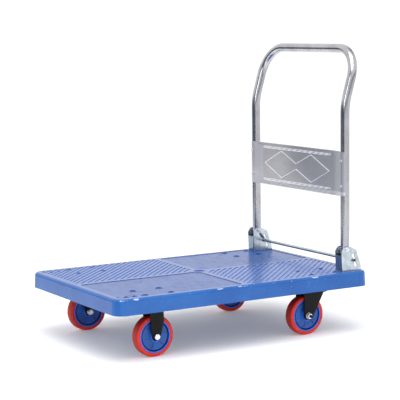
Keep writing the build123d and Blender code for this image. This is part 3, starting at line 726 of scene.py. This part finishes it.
discs = []
for side in (-1, 1):
    disc = add_turned("disc", [(r, side * a) for r, a in (
        (0.0181, 0.0110), (0.0181, 0.0136), (0.0186, 0.0141), (0.0200, 0.0141), (0.0206, 0.0136),
        (0.0220, 0.0136), (0.0385, 0.0136), (0.0392, 0.0140), (0.0422, 0.0140), (0.0430, 0.0133),
        (0.0430, 0.0110))], (0, 0, AXLE_Z), sides=180)
    pick(disc, "FACE", lambda f: on_disc_flat(f) and side * middle(f).y > DISC_OUT
         and int(sector(middle(f), 180, 0.5)) % 30 in (6, 7))
    extrude((0, -side * 0.0006, 0))
    done(disc)
    second_finish(disc, painted_shade_black, lambda f: from_axle(middle(f)) > DISC_EDGE
                  or on_disc_flat(f) and abs(abs(middle(f).y) - DISC_OUT) < 0.0002)
    discs.append(disc)
discs = join(*discs)
even(discs)

rubber = Finish("red_rubber")
dust = rubber.noise(55, detail=5)
skin = rubber.noise(800, detail=2)
sidewall = abs(rubber.facing("Y")).ramp(0.4, 0.9)
red = rubber.blend(dust.ramp(0.35, 0.7), shade(212, 44, 26), shade(228, 58, 38))
# The tread, where the surface does not face along the world's Y, is painted darker than the sidewalls.
red = rubber.blend((1 - sidewall) * 0.55, red, shade(132, 22, 20))
rubber.set({"Base Color": red, "Roughness": 0.42 + 0.25 * dust, "Specular IOR Level": 0.4,
            "Normal": rubber.bump(skin, 0.0002, 0.5)})
nylon = Finish("blue_nylon")
flow = nylon.noise(30, detail=4)
nylon.set({"Base Color": nylon.blend(flow.ramp(0.3, 0.7), shade(14, 92, 214), shade(26, 112, 236)),
           "Roughness": 0.30 + 0.1 * flow, "Normal": nylon.bump(nylon.noise(500), 0.0002, 0.4)})
disc_blue = Finish("disc_plastic")
flow = disc_blue.noise(30, detail=4)
disc_blue.set({"Base Color": disc_blue.blend(flow.ramp(0.3, 0.7), shade(14, 70, 150), shade(26, 88, 172)),
               "Roughness": 0.34 + 0.16 * flow, "Normal": disc_blue.bump(disc_blue.noise(450), 0.0002, 0.5)})
chrome = Finish("bright_steel")
polish = chrome.noise(400, detail=3)
chrome.set({"Base Color": chrome.blend(polish, shade(214, 216, 222), shade(238, 240, 244)), "Metallic": 1.0,
            "Roughness": 0.14 + 0.16 * polish})
for end, side, body_of_fork in (("front", "left", "platform"), ("front", "right", "platform"),
                                ("rear", "left", "swivel_left"), ("rear", "right", "swivel_right")):
    name = end + "_" + side
    place = (CASTER_X[0] if end == "front" else CASTER_X[1] - TRAIL,
             TRACK_Y * (-1 if side == "left" else 1), 0)
    for shape, slot, finish, stands_for in ((tyre, "tyre_red", rubber, "tyre_"),
                                            (core, "wheel_blue", nylon, "wheel_core_"),
                                            (discs, "cover_blue", disc_blue, "wheel_covers_")):
        piece = copy_to(shape, stands_for.replace("wheel_c", "c") + "piece_" + name, place)
        dress(piece, finish, slot, "wheel_" + name, stands_for + name)
    refine("bearings_" + name, bearing_steel, 0.0003)
    refine("axle_bolt_" + name, chrome, 0.0005)
    refine("axle_nut_" + name, chrome, 0.0004)
    refine("axle_sleeve_" + name, bearing_steel)
for shape in (tyre, core, discs):
    bpy.data.objects.remove(shape)

# ---- Handle brackets ------------------------------------------------------------------
# Two channels pressed from 2.5 mm steel and zinc plated: two cheeks, a base bolted to the deck
# by three round-headed bolts and a web towards the front. A slanting slot guides the rod.
CHEEK = [(0.359, 0.195), (0.359, 0.259), (0.369, 0.2725), (0.391, 0.2725), (0.415, 0.2615),
         (0.433, 0.211), (0.435, 0.195)]
bracket = add_plate("bracket", CHEEK, [0, 0.009, 0.009, 0.014, 0.008, 0.008, 0], -0.018, 0.018)
pick(bracket, "EDGE", lambda e: max(v.co.x for v in e.verts) < 0.3591 and e.calc_length() > 0.04)
bpy.ops.mesh.bevel(offset=0.005, segments=5, affect="EDGES")
done(bracket)
carve(bracket, add_block((0.3615, -0.0155, 0.1975), (0.450, 0.0155, 0.300)))
carve(bracket, add_block((0.350, -0.0155, 0.245), (0.370, 0.0155, 0.300)))
slot_top, slot_low = Vector((0.4035, 0, 0.243)), Vector((0.411, 0, 0.211))
slot = add_bar(0.0054, (slot_top.x, -0.03, slot_top.z), (slot_top.x, 0.03, slot_top.z), 40, "slot")
along_slot = (slot_low - slot_top).normalized()
pick(slot, "VERT", lambda v: Vector((v.co.x - slot_top.x, 0, v.co.z - slot_top.z)).dot(along_slot) > 0.00001)
bpy.ops.transform.translate(value=slot_low - slot_top)
done(slot)
carve(bracket, slot)
holes = [add_bar(0.0026, (0.417, -0.03, 0.211), (0.417, 0.03, 0.211), 24),
         add_plate("peep", [(0.3935, 0.231), (0.401, 0.230), (0.4005, 0.223)], [0, 0, 0], -0.03, 0.03),
         add_bar(0.005, (0.380, -0.03, 0.2635), (0.380, 0.03, 0.2635), 32)]
holes += [add_bar(0.004, (x, 0, 0.190), (x, 0, 0.200), 24) for x in HANDLE_HOLES_X]
carve(bracket, join(*holes))
soften(bracket, 0.0004)
even(bracket)
bright = Finish("bright_zinc")
cloud = bright.noise(45, detail=4)
drawn = bright.noise(120, (1, 1, 0.08), detail=3)
silver = bright.blend(cloud.ramp(0.3, 0.7), shade(170, 182, 190), shade(200, 208, 213))
# Faces looking to the front are painted blue-teal with drawn streaks: a painted reflection of the blue deck.
web = 1 - bright.facing("X").ramp(-0.95, -0.6)
painted_deck_reflection = bright.blend(drawn.ramp(0.35, 0.65), shade(50, 98, 124), shade(124, 152, 172))
bright.set({"Base Color": bright.blend(web * 0.6, silver, painted_deck_reflection),
            "Metallic": 1.0, "Roughness": 0.20 + 0.16 * drawn,
            "Normal": bright.bump(drawn + 0.5 * bright.noise(900), 0.0003, 0.35)})
for name, side in sides:
    piece = copy_to(bracket, "channel_bracket_" + name, (0, side * HANDLE_Y, 0))
    dress(piece, bright, "bracket_zinc", "platform", "handle_bracket_" + name)
    refine("pivot_pin_" + name, zinc, 0.0003)
bpy.data.objects.remove(bracket)
refine("bracket_bolts", zinc, 0.0003)
refine("bracket_nuts", zinc, 0.0003)

# ---- Handle tube ----------------------------------------------------------------------
# One length of bright plated 28 mm steel tube, bent four times: up, back to the push bar, across
# and down. Its feet turn on the rivets in steel bushes and are rounded off.
TUBE_R, TUBE_X, LEAN, LEAN_Z, BAR_Z = 0.014, 0.384, radians(16.5), 0.720, 0.8925
PIVOT, FOOT_R = Vector((0.380, 0, 0.2635)), hypot(0.027, 0.0355) - 0.0055
bar_x = TUBE_X + (BAR_Z - LEAN_Z) * tan(LEAN)
FOOT_Z = 0.2035
route = [Vector((TUBE_X, -HANDLE_Y, FOOT_Z)), Vector((TUBE_X, -HANDLE_Y, LEAN_Z)),
         Vector((bar_x, -HANDLE_Y, BAR_Z)), Vector((bar_x, HANDLE_Y, BAR_Z)),
         Vector((TUBE_X, HANDLE_Y, LEAN_Z)), Vector((TUBE_X, HANDLE_Y, FOOT_Z))]
bends = [0.220, 0.095, 0.095, 0.220]
bpy.ops.object.select_all(action="DESELECT")
bpy.ops.mesh.primitive_circle_add(vertices=48, radius=TUBE_R, location=route[0])
tube = settle(bpy.context.object)
tube.name = "bent_handle_tube"
bpy.ops.object.mode_set(mode="EDIT")
bpy.ops.mesh.select_all(action="SELECT")
here = route[0]
for k, radius in enumerate(bends, start=1):
    into = (route[k] - route[k - 1]).normalized()
    out = (route[k + 1] - route[k]).normalized()
    turn = into.angle(out)
    start = route[k] - into * radius * tan(turn / 2)
    bpy.ops.mesh.extrude_edges_move(TRANSFORM_OT_translate={"value": start - here})
    hub = start + (out - into * into.dot(out)).normalized() * radius
    bpy.ops.mesh.spin(steps=max(6, round(turn / 0.075)), angle=-turn, center=hub, axis=into.cross(out))
    here = route[k] + out * radius * tan(turn / 2)
bpy.ops.mesh.extrude_edges_move(TRANSFORM_OT_translate={"value": route[5] - here})
bpy.ops.mesh.select_all(action="SELECT")
bpy.ops.mesh.remove_doubles(threshold=0.00002)
bpy.ops.mesh.normals_make_consistent(inside=False)
done(tube)
change = tube.modifiers.new("wall", "SOLIDIFY")
change.thickness, change.offset = 0.0018, -1
solo(tube)
bpy.ops.object.modifier_apply(modifier=change.name)
feet = add_block((0.33, -0.28, 0.19), (0.45, 0.28, PIVOT.z), "feet")
carve(feet, add_bar(FOOT_R, (PIVOT.x, -0.29, PIVOT.z), (PIVOT.x, 0.29, PIVOT.z), 96))
carve(tube, feet)
bushes = [add_bar(0.007, (PIVOT.x, y - 0.02, PIVOT.z), (PIVOT.x, y + 0.02, PIVOT.z), 40)
          for y in (-HANDLE_Y, HANDLE_Y)]
carve(tube, join(*bushes))
even(tube, 40)
plated = Finish("plated_tube_steel")
lengthwise = plated.noise(260, (1, 1, 0.02), detail=3)
crosswise = plated.noise(260, (1, 0.02, 1), detail=3)
on_bar = plated.along("Z").ramp(0.868, 0.880) * (1 - abs(plated.along("Y")).ramp(0.19, 0.21))
brushing = lengthwise * (1 - on_bar) + crosswise * on_bar
clouds = plated.noise(16, detail=3)
plated.set({"Base Color": plated.blend(clouds.ramp(0.3, 0.7), shade(172, 172, 176), shade(192, 192, 196)),
            "Metallic": 1.0, "Roughness": 0.13 + 0.12 * brushing + 0.05 * clouds,
            "Normal": plated.bump(brushing, 0.00006, 0.6)})
dress(tube, plated, "handle_steel", "handle", "handle_tube")

# Black nylon plugs close the feet, and the bushes that line the pivots are plain steel.
nylon_black = Finish("black_nylon")
grainy = nylon_black.noise(600, detail=2)
nylon_black.set({"Base Color": nylon_black.blend(grainy, shade(22, 22, 24), shade(36, 36, 38)),
                 "Roughness": 0.5,
                 "Normal": nylon_black.bump(grainy, 0.0002, 0.5)})
for name, side in sides:
    refine("foot_plug_" + name, nylon_black)
    refine("pivot_bush_" + name, bearing_steel)

# ---- Handle panel ---------------------------------------------------------------------
# A pressed sheet between the legs, rolled round them and held by two rivets each. Two long beads
# and two crossing rows of slanting ridges stiffen it.
PANEL_X, PANEL_LOW, PANEL_HIGH, SHEET, FLAT_Y = 0.375, 0.432, 0.573, 0.0015, 0.222
WRAP_R, WRAP_FROM, WRAP_TO = TUBE_R + SHEET / 2 + 0.00002, radians(10), radians(60)
wrap_y, wrap_x = HANDLE_Y - WRAP_R * sin(WRAP_FROM), TUBE_X - WRAP_R * cos(WRAP_FROM)
LIP = 0.013
bpy.ops.object.select_all(action="DESELECT")
bpy.ops.mesh.primitive_plane_add(size=1, location=(PANEL_X, 0, (PANEL_LOW + PANEL_HIGH) / 2),
                                 rotation=(0, -pi / 2, 0))
panel = bpy.context.object
panel.scale, panel.name = (PANEL_HIGH - PANEL_LOW, 2 * wrap_y, 1), "pressed_handle_panel"
settle(panel)
for point, normal in (((0, FLAT_Y, 0), (0, 1, 0)), ((0, -FLAT_Y, 0), (0, 1, 0)),
                      ((0, FLAT_Y - LIP, 0), (0, 1, 0)), ((0, LIP - FLAT_Y, 0), (0, 1, 0)),
                      ((0, 0, PANEL_LOW + LIP), (0, 0, 1)), ((0, 0, PANEL_HIGH - LIP), (0, 0, 1))):
    pick(panel, "FACE", lambda f: True)
    bpy.ops.mesh.bisect(plane_co=point, plane_no=normal)
pick(panel, "VERT", lambda v: abs(v.co.y) > FLAT_Y + 0.001)
bpy.ops.transform.translate(value=(wrap_x - PANEL_X, 0, 0))
pick(panel, "VERT", lambda v: abs(v.co.y) < FLAT_Y - 0.001 and v.co.z < PANEL_LOW + 0.001)
bpy.ops.transform.translate(value=(-0.0016, 0, 0))
done(panel)
for side in (-1, 1):
    pick(panel, "EDGE", lambda e: all(v.co.y * side > wrap_y - 0.0005 for v in e.verts))
    bpy.ops.mesh.spin(steps=14, angle=side * (WRAP_FROM + WRAP_TO),
                      center=(TUBE_X, side * HANDLE_Y, 0), axis=(0, 0, 1))
    done(panel)
for end, edge in ((1, PANEL_HIGH), (-1, PANEL_LOW)):
    pick(panel, "VERT", lambda v: abs(v.co.z - edge) < 0.0001 and abs(v.co.y) > wrap_y + 0.0005)
    bpy.ops.transform.translate(value=(0, 0, -0.002 * end))
    done(panel)
pick(panel, "FACE", lambda f: True)
bpy.ops.mesh.remove_doubles(threshold=0.00001)
bpy.ops.mesh.normals_make_consistent(inside=False)
done(panel)
change = panel.modifiers.new("sheet", "SOLIDIFY")
change.thickness, change.offset, change.use_even_offset = SHEET, 0, True
solo(panel)
bpy.ops.object.modifier_apply(modifier=change.name)


def add_ridge(start, end, radius, proud, name="ridge"):
    """A long round-ended ridge on the panel's face, from one (y, z) to another."""
    (y0, z0), (y1, z1) = start, end
    bpy.ops.object.select_all(action="DESELECT")
    bpy.ops.mesh.primitive_uv_sphere_add(segments=16, ring_count=10, radius=radius)
    ridge = bpy.context.object
    ridge.name = name
    ridge.rotation_euler = Vector((0, y1 - y0, z1 - z0)).to_track_quat("Z", "X").to_euler()
    settle(ridge)
    way = Vector((0, y1 - y0, z1 - z0))
    pick(ridge, "VERT", lambda v: v.co.dot(way) > 1e-7)
    bpy.ops.transform.translate(value=way)
    done(ridge)
    ridge.scale = (proud / radius, 1, 1)
    ridge.location = (PANEL_X - SHEET / 2, y0, z0)
    return settle(ridge)


RIDGES = [(186, 505), (86, 550), (0, 514), (-86, 550), (-186, 505), (-86, 460), (0, 496), (86, 460),
          (186, 505)]
raised = [add_ridge((y0 / 1000, z0 / 1000), (y1 / 1000, z1 / 1000), 0.0017, 0.0011)
          for (y0, z0), (y1, z1) in zip(RIDGES, RIDGES[1:])]
raised += [add_ridge((-0.190, z), (0.190, z), 0.004, 0.0019, "bead") for z in (0.5585, 0.4495)]
panel = join(panel, *raised)
even(panel, 40)
sheet_steel = Finish("panel_sheet_steel")
proud = ((PANEL_X - SHEET / 2 - 0.0001 - sheet_steel.along("X")).ramp(0.0, 0.0005)
         * (1 - abs(sheet_steel.along("Y")).ramp(0.2, 0.201)))
rolled = sheet_steel.noise(150, (1, 0.05, 1), detail=3)
patches = sheet_steel.noise(9, detail=3)
# The sheet's far end, where it starts to roll round the leg, is painted as a pale slanting strip: a painted
# highlight, on that end only.
far_end = sheet_steel.along("Y") - 0.022 * sheet_steel.along("Z").ramp(0.546, 0.573)
painted_end_highlight = far_end.ramp(0.196, 0.199) * (1 - sheet_steel.along("Y").ramp(0.242, 0.246))
# The bent-back lower lip is painted paler: a painted highlight.
painted_lip_highlight = 1 - sheet_steel.along("Z").ramp(PANEL_LOW + LIP - 0.001, PANEL_LOW + LIP + 0.001)
# A diagonal band across the upper middle of the sheet is painted darker blue-grey: a painted reflection.
sweep = (sheet_steel.along("Z") * 0.9 - sheet_steel.along("Y") + 0.03 * patches).ramp(0.36, 0.56)
grey = sheet_steel.blend(patches.ramp(0.3, 0.7), shade(216, 214, 215), shade(226, 224, 224))
grey = sheet_steel.blend(sweep, grey, shade(182, 184, 189))
grey = sheet_steel.blend(painted_end_highlight * 0.8, grey, shade(238, 237, 240))
grey = sheet_steel.blend(painted_lip_highlight * 0.7, grey, shade(232, 231, 234))
# The ridges and beads are painted near-white, the beads in slanting bands: painted highlights along their
# crowns.
highlight_slants = ((sheet_steel.along("Y") * 0.6 + sheet_steel.along("Z")) % 0.018 - 0.009).ramp(-0.001, 0.001)
on_bead = abs(sheet_steel.along("Z") - 0.504).ramp(0.048, 0.049)
ridges_painted_highlight = sheet_steel.blend(proud * (0.85 - 0.6 * on_bead * highlight_slants), grey, shade(240, 241, 244))
sheet_steel.set({"Base Color": ridges_painted_highlight, "Metallic": 0.9,
                 "Roughness": 0.26 + 0.14 * rolled + 0.1 * patches,
                 "Normal": sheet_steel.bump(rolled + patches, 0.0002, 0.3)})
dress(panel, sheet_steel, "panel_steel", "handle", "handle_panel")
refine("panel_rivets", zinc, 0.0003)

# ---- Release rod and its springs ------------------------------------------------------
# A hollow bar of pale steel, its underside painted dark blue as shade, runs across the deck through the
# slots of all four cheeks, with a collar inside each bracket. Two close-wound springs pull it up
# towards the pivots.
ROD = Vector((0.407, 0, 0.228))
rod = add_turned("release_bar", mirrored([
    (0.0036, -0.2765), (0.0039, -0.2770), (0.0046, -0.2770), (0.0050, -0.2764),
    (0.0050, -0.2500)]), ROD, sides=32)
even(rod)
rod_steel = Finish("rod_steel_painted_shade")
oxide = rod_steel.noise(60, (1, 0.2, 1), detail=4)
# The underside is painted dark blue: painted shade, tinted blue.
painted_underside_shade = 1 - rod_steel.facing("Z").ramp(-0.5, 0.2)
steel = rod_steel.blend(oxide.ramp(0.3, 0.7), shade(176, 188, 194), shade(206, 215, 218))
rod_steel.set({"Base Color": rod_steel.blend(painted_underside_shade * 0.85, steel, shade(64, 92, 128)),
               "Metallic": 1.0, "Roughness": 0.24 + 0.2 * oxide,
               "Normal": rod_steel.bump(rod_steel.noise(500, (1, 0.1, 1)), 0.0001, 0.5)})
dress(rod, rod_steel, "rod_steel", "release", "release_rod")
refine("rod_collars", zinc, 0.0003)
spring_steel = Finish("spring_steel")
oil = spring_steel.noise(300, detail=2)
spring_steel.set({"Base Color": spring_steel.blend(oil, shade(150, 152, 158), shade(206, 208, 214)),
                  "Metallic": 1.0, "Roughness": 0.2 + 0.2 * oil})
WIRE, COIL_R, TURNS = 0.0007, 0.0026, 15
lean = Vector((ROD.x - PIVOT.x, 0, ROD.z - PIVOT.z))
span = lean.length
for name, side in sides:
    bpy.ops.object.select_all(action="DESELECT")
    start = (span - TURNS * 2 * WIRE) / 2
    bpy.ops.mesh.primitive_circle_add(vertices=8, radius=WIRE * 0.98, location=(COIL_R, 0, start),
                                      rotation=(pi / 2, 0, 0))
    spring = settle(bpy.context.object)
    change = spring.modifiers.new("coil", "SCREW")
    change.steps = change.render_steps = 16
    change.iterations, change.screw_offset = TURNS, 2 * WIRE
    bpy.ops.object.modifier_apply(modifier=change.name)
    parts = []
    for eye_r, eye_z, near in ((0.0043, 0.0, start), (0.0058, span, span - start)):
        bpy.ops.object.select_all(action="DESELECT")
        bpy.ops.mesh.primitive_torus_add(major_segments=28, minor_segments=8, major_radius=eye_r,
                                         minor_radius=WIRE, location=(0, 0, eye_z), rotation=(pi / 2, 0, 0))
        parts.append(settle(bpy.context.object))
        stem = eye_z + (eye_r if eye_z < near else -eye_r)
        parts.append(add_bar(WIRE, (0, 0, stem), (0, 0, near), 8))
        parts.append(add_bar(WIRE, (0, 0, near), (COIL_R, 0, near), 8))
    spring = join(spring, *parts)
    spring.name = "pull_spring_" + name
    spring.rotation_euler = lean.to_track_quat("Z", "Y").to_euler()
    spring.location = PIVOT + Vector((0, side * (HANDLE_Y - 0.018 - 0.0055), 0))
    settle(spring)
    even(spring, 60)
    dress(spring, spring_steel, "spring_steel", "release", "latch_spring_" + name)
